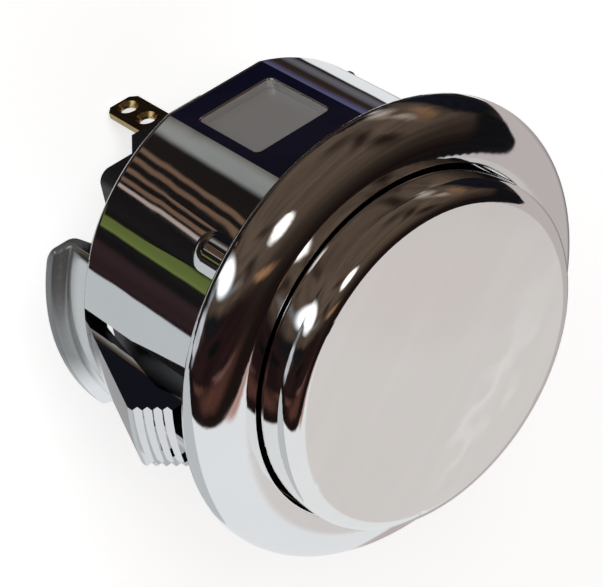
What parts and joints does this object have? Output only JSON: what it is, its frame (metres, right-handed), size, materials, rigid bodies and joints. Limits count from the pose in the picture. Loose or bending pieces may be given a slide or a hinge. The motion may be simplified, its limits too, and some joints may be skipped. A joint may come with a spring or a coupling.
{
  "type": "arcade push button",
  "caption": "Snap-in arcade push button with a chrome-plated bulbous rim, a sprung plunger, ridged snap arms and a black switch with blade terminals behind the barrel.",
  "frame": {"origin": "on the button's axis, in the plane where the rim seats on the panel", "axes": "+Z out of the panel towards the plunger's face, the window's flat faces -Y, the snap arms stand at +X and -X"},
  "size_m": [0.0366, 0.0348, 0.0344],
  "materials": {
    "housing_chrome": "bright chrome plating on a moulding",
    "plunger_chrome": "bright chrome plating on a moulding",
    "switch_black": "fine moulded texture",
    "actuator_plastic": "moulded, natural",
    "terminal_brass": "stamped strip",
    "bridge_brass": "stamped strip",
    "contact_silver": "silver-coloured contact",
    "spring_steel": "drawn wire"
  },
  "bodies": {
    "button_body": {"housing": "housing_chrome", "switch_case": "switch_black", "switch_base": "switch_black", "terminal_front": "terminal_brass", "terminal_back": "terminal_brass", "fixed_contact_front": "contact_silver", "fixed_contact_back": "contact_silver", "return_spring": "spring_steel"},
    "plunger": {"plunger": "plunger_chrome"},
    "actuator": {"switch_actuator": "actuator_plastic", "contact_bridge": "bridge_brass", "bridge_contacts": "contact_silver"}
  },
  "joints": [
    {"name": "plunger_slide", "type": "slide", "parent": "button_body", "child": "plunger", "axis": [0, 0, -1], "range_m": [0, 0.0027], "stiffness_N_per_m": 160, "springref_m": -0.0035},
    {"name": "actuator_slide", "type": "slide", "parent": "button_body", "child": "actuator", "axis": [0, 0, -1], "range_m": [0, 0.0027], "deforming": ["return_spring"]}
  ],
  "couplings": [
    {"joint": "actuator_slide", "follows": "plunger_slide", "ratio": 1}
  ]
}
